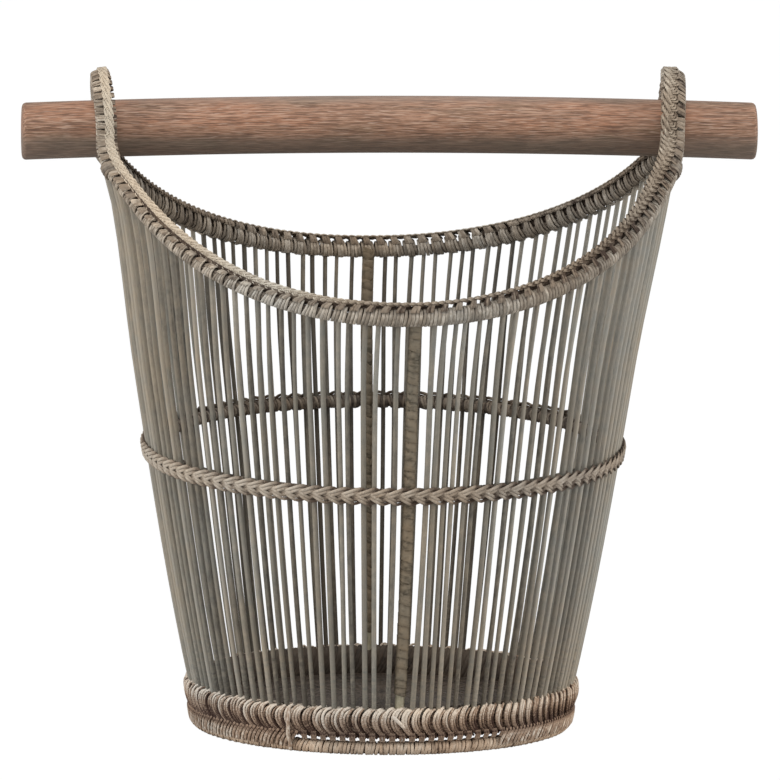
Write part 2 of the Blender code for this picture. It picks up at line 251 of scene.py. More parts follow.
def make_piece(name, shape, material, nodes):
    """Turns a shape into a piece of the basket that stands for some CAD nodes."""
    bmesh.ops.remove_doubles(shape, verts=[vert for vert in shape.verts if vert.is_boundary],
                             dist=0.00001)
    for vert in shape.verts:
        vert.co.x += top_lean(vert.co)
    mesh = bpy.data.meshes.new(name)
    shape.to_mesh(mesh)
    shape.free()
    mesh.shade_smooth()
    mesh.set_sharp_from_angle(angle=math.radians(62))
    piece = bpy.data.objects.new(name, mesh)
    scene.collection.objects.link(piece)
    mesh.materials.append(material)
    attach(piece, "basket")
    if nodes:
        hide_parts(*nodes)
    return piece


def cane_group():
    """Colour, roughness and height of split cane: fibres, slow blotches and weathering."""
    group = bpy.data.node_groups.new("cane_fibre", "ShaderNodeTree")
    for way, kind, labels in (
            ("INPUT", "Vector", ("Grain",)), ("INPUT", "Float", ("Shade", "Fibres", "Speckle")),
            ("INPUT", "Color", ("Dark", "Middle", "Pale")), ("OUTPUT", "Color", ("Color",)),
            ("OUTPUT", "Float", ("Roughness", "Height"))):
        for label in labels:
            group.interface.new_socket(label, in_out=way, socket_type="NodeSocket" + kind)
    given = group.nodes.new("NodeGroupInput").outputs
    place = add(group, "TexCoord", {}).outputs["Object"]

    def stretched_noise(stretch, seed_step, detail):
        """Noise drawn out along the cane; a strand's shade moves it to another part of it."""
        scaled = add(group, "VectorMath", {0: given["Grain"], 1: stretch}, operation="MULTIPLY")
        apart = add(group, "Math", {0: given["Shade"], 1: seed_step}, operation="MULTIPLY")
        return add(group, "TexNoise", {"Scale": 1.0, "Detail": detail, "W": apart.outputs[0],
                                       "Vector": scaled.outputs[0]},
                   noise_dimensions="4D").outputs["Fac"]

    def blend_values(first, first_share, second, second_share):
        """The sum of two values, each times its share."""
        one = add(group, "Math", {0: first, 1: first_share}, operation="MULTIPLY")
        return add(group, "Math", {0: second, 1: second_share, 2: one.outputs[0]},
                   operation="MULTIPLY_ADD").outputs[0]

    def between(value, low, high, first, second):
        """The first colour below low, the second above high, and a soft change from low to high."""
        step = add(group, "MapRange", {"Value": value, "From Min": low, "From Max": high},
                   interpolation_type="SMOOTHSTEP")
        return add(group, "Mix", {"Factor": step.outputs["Result"], "A": first, "B": second},
                   data_type="RGBA").outputs["Result"]

    fibres = stretched_noise((45.0, 3200.0, 3200.0), 47.0, 2.0)
    blotches = stretched_noise((120.0, 160.0, 160.0), 91.0, 3.0)
    specks = add(group, "Math", {0: stretched_noise((420.0, 650.0, 650.0), 33.0, 1.0), 1: 0.5},
                 operation="SUBTRACT").outputs[0]
    weather, sun = [add(group, "TexNoise", {"Scale": scale, "Detail": detail,
                                            "Vector": place}).outputs["Fac"]
                    for scale, detail in ((26.0, 3.0), (11.0, 2.0))]
    mottled = blend_values(blotches, 0.38, weather, 0.22)
    toned = blend_values(mottled, 1.0, given["Shade"], 0.50)
    fine = blend_values(fibres, given["Fibres"], specks, given["Speckle"])
    value = blend_values(toned, 1.0, fine, 1.0)
    shaded = between(value, 0.50, 0.80, given["Dark"], given["Middle"])
    full = between(value, 0.82, 1.14, shaded, given["Pale"])
    hue = add(group, "MapRange", {"Value": blend_values(sun, 0.6, blotches, 0.4),
                                  "From Min": 0.36, "From Max": 0.64})
    tint = add(group, "Mix", {"Factor": hue.outputs["Result"], "A": (0.92, 0.99, 1.05, 1.0),
                              "B": (1.08, 1.00, 0.90, 1.0)}, data_type="RGBA")
    tinted = add(group, "Mix", {"Factor": 1.0, "A": full, "B": tint.outputs["Result"]},
                 data_type="RGBA", blend_type="MULTIPLY")
    rough = add(group, "MapRange", {"Value": value, "From Min": 0.3, "From Max": 1.2,
                                    "To Min": 0.82, "To Max": 0.55})
    fill(group, group.nodes.new("NodeGroupOutput"),
         {"Color": tinted.outputs["Result"], "Roughness": rough.outputs["Result"],
          "Height": fibres})
    return group


cane_fibre = cane_group()
cane_relief = 0.00012
cane_specular = 0.35


def cane(name, dark, middle, pale, fibres=0.45, speckle=0.55):
    """A cane finish that shares the fibre group and has its own three tones."""
    material, tree, shader = new_material(name)
    effect = add(tree, "Group", {
        "Grain": add(tree, "Attribute", {}, attribute_name="grain").outputs["Vector"],
        "Shade": add(tree, "Attribute", {}, attribute_name="shade").outputs["Fac"],
        "Dark": (*dark, 1.0), "Middle": (*middle, 1.0), "Pale": (*pale, 1.0),
        "Fibres": fibres, "Speckle": speckle}, node_tree=cane_fibre)
    bump = add(tree, "Bump", {"Distance": cane_relief, "Height": effect.outputs["Height"]})
    fill(tree, shader, {"Base Color": effect.outputs["Color"], "Normal": bump.outputs["Normal"],
                        "Roughness": effect.outputs["Roughness"],
                        "Specular IOR Level": cane_specular})
    return material


warm_cane = cane("warm_cane", (0.090, 0.048, 0.029), (0.470, 0.340, 0.240), (0.640, 0.515, 0.400),
                 fibres=0.50)

chance = random.Random(11)
lap_rings = 12
ring_steps = 96
lap_strand = straight_strand(lap_rings, 6, 0.8)
lap_step = math.tau / foot_laps
shape = new_shape()
for lap in range(foot_laps):
    start = (lap + chance.uniform(-0.16, 0.16)) * lap_step
    sideways = math.sin(start) ** 2
    lean = (0.15 + 1.5 * sideways + chance.uniform(-0.25, 0.25)) * lap_step
    bulge = 0.0004 * sideways * math.sin(lap * math.tau / 2.9)
    stations = []
    for ring in range(lap_rings + 1):
        share = ring / lap_rings
        turn = math.tau * share + math.pi
        out = foot_core_radius + foot_lap_thickness / 2 + bulge
        angle = start + lap_step * (share - 0.5) * 0.4 + lean * math.sin(turn)
        lift = around(math.cos(turn), angle, math.sin(turn))
        stations.append((around(foot_ring_radius, angle, foot_centre_height) + lift * out, lift))
    tone = 0.62 + 0.22 * math.sin(19 * start) * math.sin(7 * start + 1)
    bend_strand(shape, lap_strand, stations,
                foot_ring_radius * lap_step * chance.uniform(0.90, 1.02),
                foot_lap_thickness * chance.uniform(0.9, 1.3), tone + chance.uniform(-0.24, 0.24))
stations = [(around(foot_ring_radius, math.tau * ring / ring_steps, foot_centre_height),
             Vector((0, 0, 1))) for ring in range(ring_steps + 1)]
bend_strand(shape, straight_strand(ring_steps, 8, capped=False), stations, 2 * foot_core_radius,
            2 * foot_core_radius, 0.0, closed=True)
for vert in shape.verts:
    vert.co.z = max(vert.co.z, 0.0)
make_piece("foot_ring_bound", shape, warm_cane, ["foot_ring"])


# Floor -------------------------------------------------------------------------------------------
# A dark disc of fine flat cane, woven round and round over and under thirty-six flat spokes, and
# beaten so close that it reads as one smooth mat.

floor_radius = 0.1127
floor_middle = 0.0114
floor_spokes = 72
floor_rounds = 50
floor_cane_width = 0.0027
floor_cane_thickness = 0.0009
floor_wave = 0.0003
floor_hole_radius = 0.0040
spoke_width = 0.0030
spoke_thickness = 0.0007

dark_cane = cane("dark_cane", (0.030, 0.022, 0.017), (0.080, 0.061, 0.046), (0.140, 0.110, 0.084),
                 fibres=0.30)
shape = new_shape()
chance = random.Random(23)
spoke_strand = straight_strand(2, 6)
for spoke in range(floor_spokes // 2):
    angle = math.tau * spoke / floor_spokes
    stations = [(around(reach, angle, floor_middle), Vector((0, 0, 1)))
                for reach in (-floor_radius, 0.0, floor_radius)]
    bend_strand(shape, spoke_strand, stations, spoke_width, spoke_thickness,
                0.5 * chance.random())
for round_number in range(floor_rounds):
    radius = (floor_radius - floor_cane_width / 2
              - (floor_radius - floor_hole_radius) * round_number / floor_rounds)
    steps = floor_spokes * 2 if radius > 0.05 else floor_spokes
    stations = []
    for step in range(steps + 1):
        angle = math.tau * step / steps
        wave = floor_wave * math.cos(angle * (floor_spokes // 2 + 1) + math.pi * round_number)
        stations.append((around(radius, angle, floor_middle + wave), Vector((0, 0, 1))))
    bend_strand(shape, straight_strand(steps, 6, capped=False), stations, floor_cane_width,
                floor_cane_thickness, 0.3 + 0.4 * chance.random(), closed=True)
make_piece("floor_woven", shape, dark_cane, ["floor"])


# Rods and border ---------------------------------------------------------------------------------
# A cage of 120 thin peeled canes. Their own tails are bent outwards at the bottom, laid over one
# another in threes and tucked in again, which makes the braided border round the floor.

wall_foot_radius = 0.1190
wall_mouth_radius = 0.1683
wall_foot_height = 0.0290
wall_mouth_height = 0.3140
wall_belly = 0.0020
rod_radius = 0.0016
rod_foot = 0.0210
rod_head_least = 0.2620
rods_each_side = 60
stake_room_share = 1.3
rod_pitch = math.pi / (rods_each_side - 1 + 2 * stake_room_share)
rim_radius = 0.0044
pole_axis_height = 0.3675
pole_radius = 0.0174
tie_radius = 0.0040
tie_height = pole_axis_height - pole_radius - 0.0003 - tie_radius
rim_low_drop = 0.0960
rim_rise = rim_low_drop + 0.0160
rim_power_share = 2.12


def wall_radius(height):
    """Outer face of the rods at a height: a straight flare with a low swell."""
    rise = (height - wall_foot_height) / (wall_mouth_height - wall_foot_height)
    swell = wall_belly * 6.75 * rise * (1 - rise) ** 2
    return wall_foot_radius + (wall_mouth_radius - wall_foot_radius) * rise + swell


ear_waist_reach = wall_radius(pole_axis_height) - 0.0036
ear_top_reach = wall_radius(pole_axis_height) - 0.0006
ear_waist_half_gap = pole_radius + 0.0017 + rim_radius
ear_foot_height = pole_axis_height - 0.0325
ear_top_height = pole_axis_height + pole_radius + 0.0080 + rim_radius


def rim_on_wall(turn):
    """The rim's middle on the wall, from 0 at the front to a right angle at the side."""
    across = ear_top_reach * math.sin(turn) ** (2 / rim_power_share)
    height = pole_axis_height - rim_low_drop
    height += rim_rise * (1 - math.cos(turn) ** (2 / rim_power_share))
    radius = wall_radius(height) - rod_radius
    return Vector((across, -math.sqrt(radius ** 2 - across ** 2), height))


def rim_line():
    """Close points on the middle of the rim, round by the right ear, the back and the left."""
    climbed = (ear_foot_height - pole_axis_height + rim_low_drop) / rim_rise
    last = math.acos((1 - climbed) ** (rim_power_share / 2))
    quarter = [rim_on_wall(last * number / 160) for number in range(160)]
    foot = rim_on_wall(last)
    climb = (foot - rim_on_wall(last * 0.9)).normalized()
    waist = Vector((ear_waist_reach, -ear_waist_half_gap, pole_axis_height))
    quarter += interpolate_bezier(foot, foot + climb * 0.0120, waist - Vector((0, 0, 0.0170)),
                                  waist, 60)
    for number in range(1, 41):
        turn = math.pi / 2 * number / 40
        quarter.append(Vector((
            ear_waist_reach + (ear_top_reach - ear_waist_reach) * math.sin(turn),
            -ear_waist_half_gap * math.cos(turn),
            pole_axis_height + (ear_top_height - pole_axis_height) * math.sin(turn))))
    half = quarter + [Vector((p.x, -p.y, p.z)) for p in reversed(quarter[:-1])]
    return half + [Vector((-p.x, p.y, p.z)) for p in reversed(half[1:-1])]


rim_points = rim_line()
tie_leg = next(place for place in rim_points if place.z >= tie_height)
tie_points = [Vector((side * tie_leg.x, tie_leg.y * (1 - step / 20), tie_height))
              for side in (-1, 1) for step in range(41)]
stops = KDTree(len(rim_points) + len(tie_points))
for number, place in enumerate(rim_points + tie_points):
    stops.insert(place, number)
stops.balance()


def rod_angles():
    """Where the rods stand, from the front by the right, and on from the back by the left."""
    one_side = [(stake_room_share + number) * rod_pitch for number in range(rods_each_side)]
    return one_side + [angle + math.pi for angle in one_side]


def stake_push(angle, height):
    """How far the front stake, which leans to the right, pushes the rods beside it along."""
    beside = (angle + math.pi) % math.tau - math.pi
    climb = limited((height - 0.03) / 0.16)
    return (0.022 + 0.017 * climb * (2 - climb)) * math.exp(-(beside / 0.20) ** 2)


rod_rings = 14
rod_cane = cane("rod_cane", (0.090, 0.077, 0.061), (0.212, 0.190, 0.156), (0.325, 0.292, 0.244),
                speckle=0.2)
chance = random.Random(5)
rod_strand = straight_strand(rod_rings, 8)
shape = new_shape()
for angle in rod_angles():
    sideways = math.sin(angle) ** 2
    loose = (1 - 0.75 * sideways) * rod_pitch
    angle += chance.uniform(-0.14, 0.14) * loose
    gathered = 0.34 * rod_pitch * math.exp(-((angle - 3.82) / 0.2) ** 2)
    head = rod_head_least
    while stops.find(around(wall_radius(head) - rod_radius, angle, head))[2] > 0.0030:
        head += 0.0005
    bow = chance.uniform(-0.20, 0.20) * loose
    drift = chance.uniform(-0.16, 0.16) * loose
    stations = []
    for ring in range(rod_rings + 1):
        share = ring / rod_rings
        height = rod_foot + (head - rod_foot) * share
        bend = bow * math.sin(math.pi * share) + drift * share + stake_push(angle, height)
        bend -= gathered * limited(2.2 * share)
        stations.append((around(wall_radius(height) - rod_radius, angle + bend, height),
                         around(1.0, angle, 0.0)))
    behind = limited(-1.6 * math.cos(angle))
    thick = 2 * rod_radius * (chance.uniform(0.86, 1.10) + 0.06 * sideways - 0.13 * behind)
    # Painted light and shade: the rods at the back get darker tones, those at the sides paler ones,
    # more so on the right.
    tone = chance.random() + 0.5 * sideways - 0.36 * behind
    tone += 0.15 * max(math.sin(angle), 0.0)
    # Each rod is painted darker at its foot: painted shade where it goes into the border.
    bend_strand(shape, rod_strand, stations, thick, thick,
                [tone - 0.35 * max(1 - ring / 1.5, 0) for ring in range(rod_rings + 1)])
make_piece("rods_upright", shape, rod_cane,
           ["wall_" + side + "_" + str(number + 1).zfill(2)
            for side in ("right", "left") for number in range(10)])

border_leaves = 123
border_pitch = math.tau / border_leaves
border_low = 0.0094
border_high = 0.0290
border_outer = 0.1206
border_cane = cane("border_cane", (0.045, 0.020, 0.012), (0.310, 0.212, 0.148),
                   (0.620, 0.535, 0.450), fibres=0.65, speckle=0.9)
# Each leaf comes over the top, swings back over its neighbour and runs down under the next leaf:
# ends and handles of its curve, as turn in pitches, share of the height and depth in metres.
outer_leaf = ((1.05, 0.92, 0.0052), (0.45, 1.16, -0.0034), (-1.10, 0.50, -0.0014),
              (1.25, 0.07, 0.0030))
inner_leaf = ((-0.20, 0.98, 0.0052), (0.05, 0.94, 0.0094), (0.25, 0.40, 0.0098),
              (1.20, 0.08, 0.0070))
leaf_rings = 10
leaf_width = 0.0019
leaf_thickness = 0.0014
leaf_strand = straight_strand(leaf_rings, 8)
# The lashings that hold the border to the foot ring, point by point: at the sides and the back the
# turn in pitches, the radius, the height and the tilt; at the front the same without the turn.
side_lashing = ((0.60, 0.1176, 0.0136, 0.0), (0.40, 0.1186, 0.0114, 0.1),
                (0.10, 0.1184, 0.0090, 0.1), (-0.15, 0.1180, 0.0064, 0.0),
                (-0.30, 0.1172, 0.0034, -0.2))
front_lashing = ((0.1184, 0.0140, 0.0), (0.1188, 0.0112, 0.0), (0.1174, 0.0090, 0.4),
                 (0.1144, 0.0078, 1.0))
side_lashing_strand = straight_strand(4, 6)
front_lashing_strand = straight_strand(3, 6)
front_lashing_ends = (0.60, math.tau - 0.55)


def leaf_stations(route, angle, facing=1):
    """Stations of one strand of the border, whose top faces outwards, or inwards with -1."""
    stations = []
    for turn, rise, depth in interpolate_bezier(*(Vector(spot) for spot in route), leaf_rings + 1):
        spot_angle = angle + turn * border_pitch
        height = border_low + (border_high - border_low) * rise
        stations.append((around(border_outer - depth - leaf_thickness / 2, spot_angle, height),
                         around(facing, spot_angle, 1.5 * (rise - 0.5)).normalized()))
    return stations


shape = new_shape()
for number in range(border_leaves):
    angle = (number + chance.uniform(-0.12, 0.12)) * border_pitch
    sideways = math.sin(angle) ** 2
    tone = chance.random()
    deeper = chance.uniform(-0.0002, 0.0003)
    for part in (-1, 0, 1):
        route = [(turn + 0.29 * part + chance.uniform(-0.05, 0.05),
                  rise + chance.uniform(-0.09, 0.09) * rise, depth + 0.0003 * (part + 1) + deeper)
                 for turn, rise, depth in outer_leaf]
        # The third strand, which lies deepest, is made darker and narrower: painted shade in the
        # gap between leaves.
        shade = (0.84 + 0.40 * tone + chance.uniform(-0.30, 0.30)
                 - (0.45 + 0.50 * sideways) * max(part, 0) - 0.15 * sideways
                 - 0.10 * max(math.sin(angle), 0))
        # Along the strand the tone is paler at the top, a painted highlight where it comes over,
        # and darker at the lower end, painted shade where it runs under the next leaf.
        shades = [shade + 0.60 * max(1 - ring / 3, 0) - 1.0 * max(ring / 4 - 1.1, 0)
                  for ring in range(leaf_rings + 1)]
        bend_strand(shape, leaf_strand, leaf_stations(route, angle),
                    leaf_width * (1.0 - 0.20 * sideways - 0.2 * max(part, 0))
                    * chance.uniform(0.8, 1.1), leaf_thickness, shades)
    if front_lashing_ends[0] < angle < front_lashing_ends[1]:
        for part in (-0.25, 0.25):
            stations = [(around(radius, angle + (part + turn) * border_pitch, height),
                         around(1.0, angle, tilt).normalized())
                        for turn, radius, height, tilt in side_lashing]
            # The lashings are painted dark at their upper end: painted shade under the border.
            bend_strand(shape, side_lashing_strand, stations,
                        0.0023 * chance.uniform(0.8, 1.1), 0.0012,
                        [0.0, 0.0] + [0.25 + 0.6 * chance.random()] * 3)
        continue
    for part in (-0.5, 0.5):
        lash = (number + 0.7 + 0.30 * part) * border_pitch
        stations = [(around(radius, lash, height), around(1.0, lash, tilt).normalized())
                    for radius, height, tilt in front_lashing]
        # These too are painted dark at their upper end: painted shade under the border.
        bend_strand(shape, front_lashing_strand, stations, 0.0020 * chance.uniform(0.9, 1.15),
                    0.0011, [0.0, 0.05, 0.3, 0.4 * chance.random()])


def border_hoop(radius, height, start, sweep):
    """Stations of a strand that runs round inside the border and faces outwards."""
    angles = [start + sweep * ring / ring_steps for ring in range(ring_steps + 1)]
    return [(around(radius, angle, height), around(1.0, angle, 0.0)) for angle in angles]


# Only at the front does daylight show between border and foot ring; elsewhere a dark strand closes
# the gap, painted shade for the lashings there.
bend_strand(shape, straight_strand(ring_steps, 6), border_hoop(0.1165, 0.0096, 0.62, 5.12),
            0.0042, 0.0026, 0.05)
# A hoop inside the border in the darkest tone: painted shade in the gaps between the leaves.
bend_strand(shape, straight_strand(ring_steps, 8, capped=False),
            border_hoop(border_outer - 0.0050, 0.5 * (border_low + border_high), 0.0, math.tau),
            0.0150, 0.0052, 0.0, closed=True)
# One long tie over border and foot ring, and one loose end beside the foot of the front stake.
long_tie = ((0.1160, 0.004, 0.0292), (0.1204, 0.002, 0.0275), (0.1213, 0.0, 0.0190),
            (0.1210, 0.0, 0.0110), (0.1186, 0.001, 0.0060), (0.1180, 0.0, 0.0014))
stations = [(around(radius, -0.556 + lean, height), around(1.0, -0.56, 0.0))
            for radius, lean, height in long_tie]
bend_strand(shape, straight_strand(5, 8), stations, 0.0026, 0.0012, 0.62)
loose_end = ((-0.018, 0.0250), (0.012, 0.0218), (0.043, 0.0180))
stations = [(around(border_outer + 0.0004, angle, height), around(1.0, angle, 0.2).normalized())
            for angle, height in loose_end]
bend_strand(shape, straight_strand(2, 8), stations, 0.0022, 0.0012, [1.0, 1.0, 0.7])
make_piece("border_braided", shape, border_cane, [])
# The inside of the border gets the floor's darker cane, darker than the border outside: painted
# shade inside the basket.
shape = new_shape()
for number in range(2 * border_leaves):
    angle = (number + chance.uniform(-0.2, 0.2)) * border_pitch / 2
    bend_strand(shape, leaf_strand, leaf_stations(inner_leaf, angle, -1), 1.9 * leaf_width,
                leaf_thickness, 0.4 + 0.5 * chance.random())
make_piece("border_inside", shape, dark_cane, [])


# Stakes ------------------------------------------------------------------------------------------
# A thick cane upright at the front and at the back, bound with flat cane nearly to its foot. The
# laps are turned on tightly, so that only some of their edges show, as short dark slanting wedges.
# From the front they lie left of the middle on the front stake, and right of it on the back one.

stake_radius = 0.0029
stake_out = 0.0041
stake_foot = 0.0290
stake_bound_from = 0.0378
stake_head = pole_axis_height - rim_low_drop - 0.0015
stake_lap_height = 0.0060
stake_lap_thickness = 0.0007
stake_lap_overlap = 0.0012
stake_rings = 12
stake_lap_rings = 16
wedge_height = 0.0030
wedge_width = 0.36

stake_cane = cane("stake_cane", (0.070, 0.055, 0.036), (0.190, 0.152, 0.106), (0.270, 0.225, 0.163),
                  fibres=0.35)
bare_cane = cane("bare_cane", (0.150, 0.130, 0.085), (0.320, 0.290, 0.205), (0.430, 0.390, 0.300))
bare_strand = straight_strand(stake_rings, 10)
stake_lap = straight_strand(stake_lap_rings, 8, 0.3)


def stake_middle(start, height):
    """The middle of a stake at a height; only the front one, which starts at 0, leans."""
    angle = start + (stake_push(0.0, height) if start == 0.0 else 0.0)
    return around(wall_radius(height) - stake_out, angle, height)


for name, start, seed, marked in (("front", 0.0, 3, -0.5), ("back", math.pi, 4, 0.45)):
    chance = random.Random(seed)
    shape = new_shape()
    out = around(1.0, start, 0.0)
    stations = []
    for ring in range(stake_rings + 1):
        height = stake_foot - 0.003 + (stake_head - stake_foot + 0.003) * ring / stake_rings
        stations.append((stake_middle(start, height), out))
    bend_strand(shape, bare_strand, stations, 2 * stake_radius, 2 * stake_radius,
                [0.75, 0.7] + [0.0] * (stake_rings - 1))
    make_piece("stake_" + name + "_bare", shape, bare_cane, ["stake_" + name])
    shape = new_shape()
    low = stake_bound_from
    while low < stake_head:
        high = low + stake_lap_height * chance.uniform(0.75, 1.35)
        wedge = wedge_height * (chance.random() < 0.75) * chance.uniform(0.5, 1.1)
        slope = chance.uniform(0.0003, 0.0012)
        stations, widths = [], []
        for ring in range(stake_lap_rings + 1):
            turn = math.tau * ring / stake_lap_rings + math.pi / 2
            lift = Vector((math.cos(turn), math.sin(turn), 0.0))
            height = 0.5 * (low + high) - slope * math.cos(turn)
            mark = math.exp(-((math.cos(turn) - marked) / wedge_width) ** 2)
            mark = max(-math.sin(turn), 0.0) * mark
            stations.append((stake_middle(start, height - 0.5 * wedge * mark)
                             + lift * (stake_radius + 0.0005), lift))
            widths.append(high - low + stake_lap_overlap - wedge * mark)
        bend_strand(shape, stake_lap, stations, widths,
                    stake_lap_thickness * chance.uniform(0.9, 1.1), 0.4 + 0.3 * chance.random())
        low = high
    make_piece("stake_" + name + "_bound", shape, stake_cane,
               ["stake_binding_" + name])


# Hoop and plait half way up ----------------------------------------------------------------------
# Inside the rods lies a cane hoop, lashed to each of them; outside, a flat plait of four strands
# of two canes each, whose strokes meet like the bones of a herring. Both slope down to the front.

middle_height = 0.1710
middle_drop = 0.0084
hoop_core_radius = 0.0031
hoop_set_in = 0.0075
hoop_rings = 60
hoop_end_gap = 0.034
lash_rings = 10
lash_width = 0.0019
lash_thickness = 0.0010
laps_each_rod = 4
plait_waves = 26
plait_wave_rings = 20
plait_reach = 0.0037
plait_depth = 0.0010
plait_cane_width = 0.0019
plait_cane_thickness = 0.0010
plait_set_out = 0.0016
plait_cane_apart = 0.0018
plait_sharpness = 0.97

hoop_cane = cane("hoop_cane", (0.050, 0.036, 0.027), (0.150, 0.118, 0.090), (0.250, 0.206, 0.163))
plait_cane = cane("plait_cane", (0.080, 0.054, 0.038), (0.295, 0.238, 0.186), (0.450, 0.388, 0.320),
                  fibres=0.55)


def middle_level(angle):
    """The height of hoop and plait, which slope down to the front."""
    return middle_height - middle_drop * math.cos(angle)


def in_hoop(angle):
    """The middle of the hoop inside the rods."""
    height = middle_level(angle)
    return around(wall_radius(height) - hoop_set_in, angle, height)


lash_strand = straight_strand(lash_rings, 6, 0.8)
chance = random.Random(31)
for side, start in (("right", 0.0), ("left", math.pi)):
    shape = new_shape()
    stations = []
    for ring in range(hoop_rings + 1):
        angle = start + hoop_end_gap + (math.pi - 2 * hoop_end_gap) * ring / hoop_rings
        stations.append((in_hoop(angle), around(1, angle, 0)))
    bend_strand(shape, straight_strand(hoop_rings, 8), stations, 2 * hoop_core_radius,
                2 * hoop_core_radius, 0.0)
    for bundle in range(rods_each_side):
        for lap in range(laps_each_rod):
            angle = start + (stake_room_share - 0.42 + bundle + 0.245 * lap) * rod_pitch
            if min(abs(angle - start), abs(angle - start - math.pi)) < hoop_end_gap:
                continue
            lean = chance.uniform(-0.05, 0.20) * rod_pitch
            stations = []
            for ring in range(lash_rings + 1):
                turn = math.tau * ring / lash_rings + math.pi / 4
                spot_angle = angle + lean * math.sin(turn)
                lift = around(math.cos(turn), spot_angle, math.sin(turn))
                stations.append((in_hoop(spot_angle) + lift * (hoop_core_radius + 0.0004), lift))
            bend_strand(shape, lash_strand, stations, lash_width * chance.uniform(0.75, 1.05),
                        lash_thickness, chance.random() * (0.4 if lap == 0 else 1.0))
    make_piece("middle_hoop_" + side + "_lashed", shape, hoop_cane,
               ["middle_hoop_" + side])

shape = new_shape()
chance = random.Random(37)
plait_rings = plait_waves * plait_wave_rings
plait_strand = straight_strand(plait_rings, 8, 0.55, capped=False)
for strand in range(4):
    for half in (-0.5, 0.5):
        tone = 0.08 + 0.4 * chance.random()
        stations, shades = [], []
        for ring in range(plait_rings + 1):
            angle = math.tau * ring / plait_rings
            phase = math.tau * (ring / plait_wave_rings + strand / 4)
            rise = plait_reach * math.asin(plait_sharpness * math.sin(phase))
            rise /= math.asin(plait_sharpness)
            front = -math.sin(angle) if math.cos(angle) > 0 else 0.0
            tilt = 0.45 if math.cos(phase) > 0 else -0.85
            aside = half * plait_cane_apart * (1 + 0.25 * abs(tilt))
            depth = plait_depth * math.sin(2 * phase + 0.45)
            spot_angle = angle + 0.50 * rise / 0.1455
            height = middle_level(spot_angle) + rise + aside
            radius = wall_radius(height) + plait_set_out + depth
            stations.append((around(radius, spot_angle, height), around(1, spot_angle, 0)))
            # A cane is painted paler where it lies on top and darker where it runs under: painted
            # highlight and painted shade of the plait.
            shades.append(tone + 0.60 * depth / plait_depth + chance.uniform(-0.1, 0.1)
                          + 0.3 * front)
        shades[-1] = shades[0]
        bend_strand(shape, plait_strand, stations, plait_cane_width, plait_cane_thickness, shades,
                    closed=True)
make_piece("middle_plait_woven", shape, plait_cane, ["middle_plait"])


# Rim ---------------------------------------------------------------------------------------------
# One stout hoop, low at the front and the back and drawn up at the sides into two narrow ears. It
# is wound with flat cane in bundles of two to four laps, which look different on the way round.

rim_core_radius = 0.0026
rim_lap_thickness = 0.0011
rim_lap_rings = 10
rim_lap_start = -2.2
rim_lap_spacing = 0.0021
rim_bundle_room = 0.0090
# The look of the rim at some places: degrees from the front by the right; how many mm the laps
# reach up towards the plait, the share of its room that a bundle keeps at the top, its bulge, and
# the share that the stitches cover; the plait's lean in degrees, and in mm its place out and up
# from the rim's middle and its width; how far the inner stitches bow out; how pale it all is.
RimLook = namedtuple("RimLook", "turn reach keep bulge cover lean out up width sill pale")
rim_marks = (
    (-180, 1.8, 0.90, 0.8, 0.55, 20, 0.0, 8.2, 7.2, 0.0, 0.10),
    (-158, 2.0, 0.80, 1.0, 0.60, 20, 0.0, 8.2, 7.2, 0.0, 0.15),
    (-138, 3.8, 0.62, 1.8, 0.94, 20, -0.5, 8.0, 7.2, 0.0, 0.05),
    (-108, 3.8, 0.60, 1.8, 0.94, 20, -1.5, 7.6, 7.2, 0.0, -0.15),
    (-98, 1.0, 0.80, 0.2, 0.85, 10, -2.6, 7.2, 6.4, 0.0, 0.10),
    (-84, 0.2, 0.75, -0.3, 0.84, 4, -3.2, 7.0, 6.0, 3.0, 0.66),
    (-74, 0.2, 0.68, -0.2, 0.74, 16, -3.6, 6.4, 6.6, 0.8, 0.64),
    (-62, 0.3, 0.62, 0.0, 0.66, 30, -3.6, 5.8, 7.0, 0.0, 0.45),
    (-34, 0.5, 0.60, 0.1, 0.52, 30, -3.4, 6.4, 7.0, 0.0, 0.30),
    (-20, 1.2, 0.72, 0.1, 0.52, 18, -2.6, 7.8, 7.0, 0.0, 0.20),
    (-8, 2.2, 0.95, 0.1, 0.58, 5, -1.8, 9.0, 7.0, 0.0, -0.14),
    (18, 2.6, 1.00, 0.1, 0.50, 0, -2.2, 9.4, 7.2, 0.0, -0.26),
    (50, 1.0, 1.00, 0.0, 0.42, 0, -4.2, 8.0, 8.4, 0.0, -0.54),
    (76, 0.3, 0.95, 0.0, 0.55, 0, -5.2, 7.4, 10.4, 0.4, -0.26),
    (82, 0.1, 1.00, 0.0, 0.92, 0, -5.2, 7.3, 10.4, 1.8, -0.08),
    (86, 0.0, 1.00, 0.0, 0.95, 0, -5.2, 7.2, 10.2, 3.4, 0.05),
    (98, 0.5, 0.80, 0.2, 0.90, 5, -3.4, 7.2, 8.0, 0.0, -0.15),
    (108, 3.4, 0.58, 1.8, 0.94, 15, -1.5, 7.6, 7.2, 0.0, -0.05),
    (138, 3.8, 0.58, 2.0, 0.94, 15, -0.5, 8.0, 7.2, 0.0, 0.00),
    (158, 2.0, 0.80, 1.2, 0.60, 20, 0.0, 8.2, 7.2, 0.0, 0.05),
    (180, 1.8, 0.90, 0.8, 0.55, 20, 0.0, 8.2, 7.2, 0.0, 0.10))
rim_cane = cane("rim_cane", (0.050, 0.034, 0.024), (0.228, 0.188, 0.148), (0.480, 0.425, 0.360),
                fibres=0.65)


